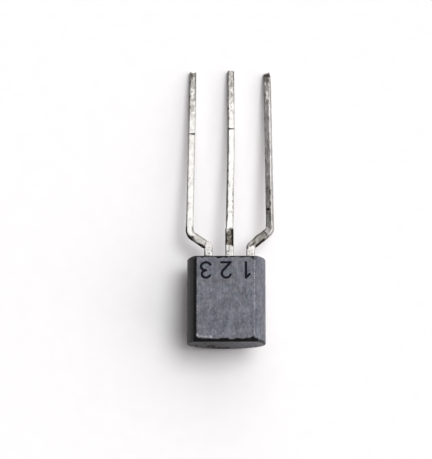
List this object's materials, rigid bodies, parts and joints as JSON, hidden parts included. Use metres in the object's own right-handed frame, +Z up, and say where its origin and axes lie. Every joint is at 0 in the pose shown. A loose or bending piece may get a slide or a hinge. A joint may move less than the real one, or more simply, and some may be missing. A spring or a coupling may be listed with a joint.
{
  "type": "plastic three-lead transistor",
  "caption": "Small black moulded transistor, D-shaped, flat front and round back, with tinned leads formed outwards, lying on its back with the lead tips on the table.",
  "frame": {"origin": "on the table, under the middle of the whole part's box", "axes": "+Z up from the table, +Y from the moulding towards the lead tips, +X from the emitter lead to the collector lead. The part lies at rest on its round back and its lead tips, so its long axis dips about 10.3 degrees towards +Y and the flat front faces up."},
  "size_m": [0.0052, 0.017, 0.0046],
  "materials": {
    "black_epoxy": "satin",
    "tinned_lead": "satin",
    "silicon": "polished",
    "die_bond": "matte",
    "bond_wire": "polished"
  },
  "bodies": {
    "root": {"moulded_body": "black_epoxy", "collector_lead": "tinned_lead", "base_lead": "tinned_lead", "emitter_lead": "tinned_lead", "silicon_die": "silicon", "die_attach": "die_bond", "base_bond_wire": "bond_wire", "emitter_bond_wire": "bond_wire"}
  },
  "joints": []
}
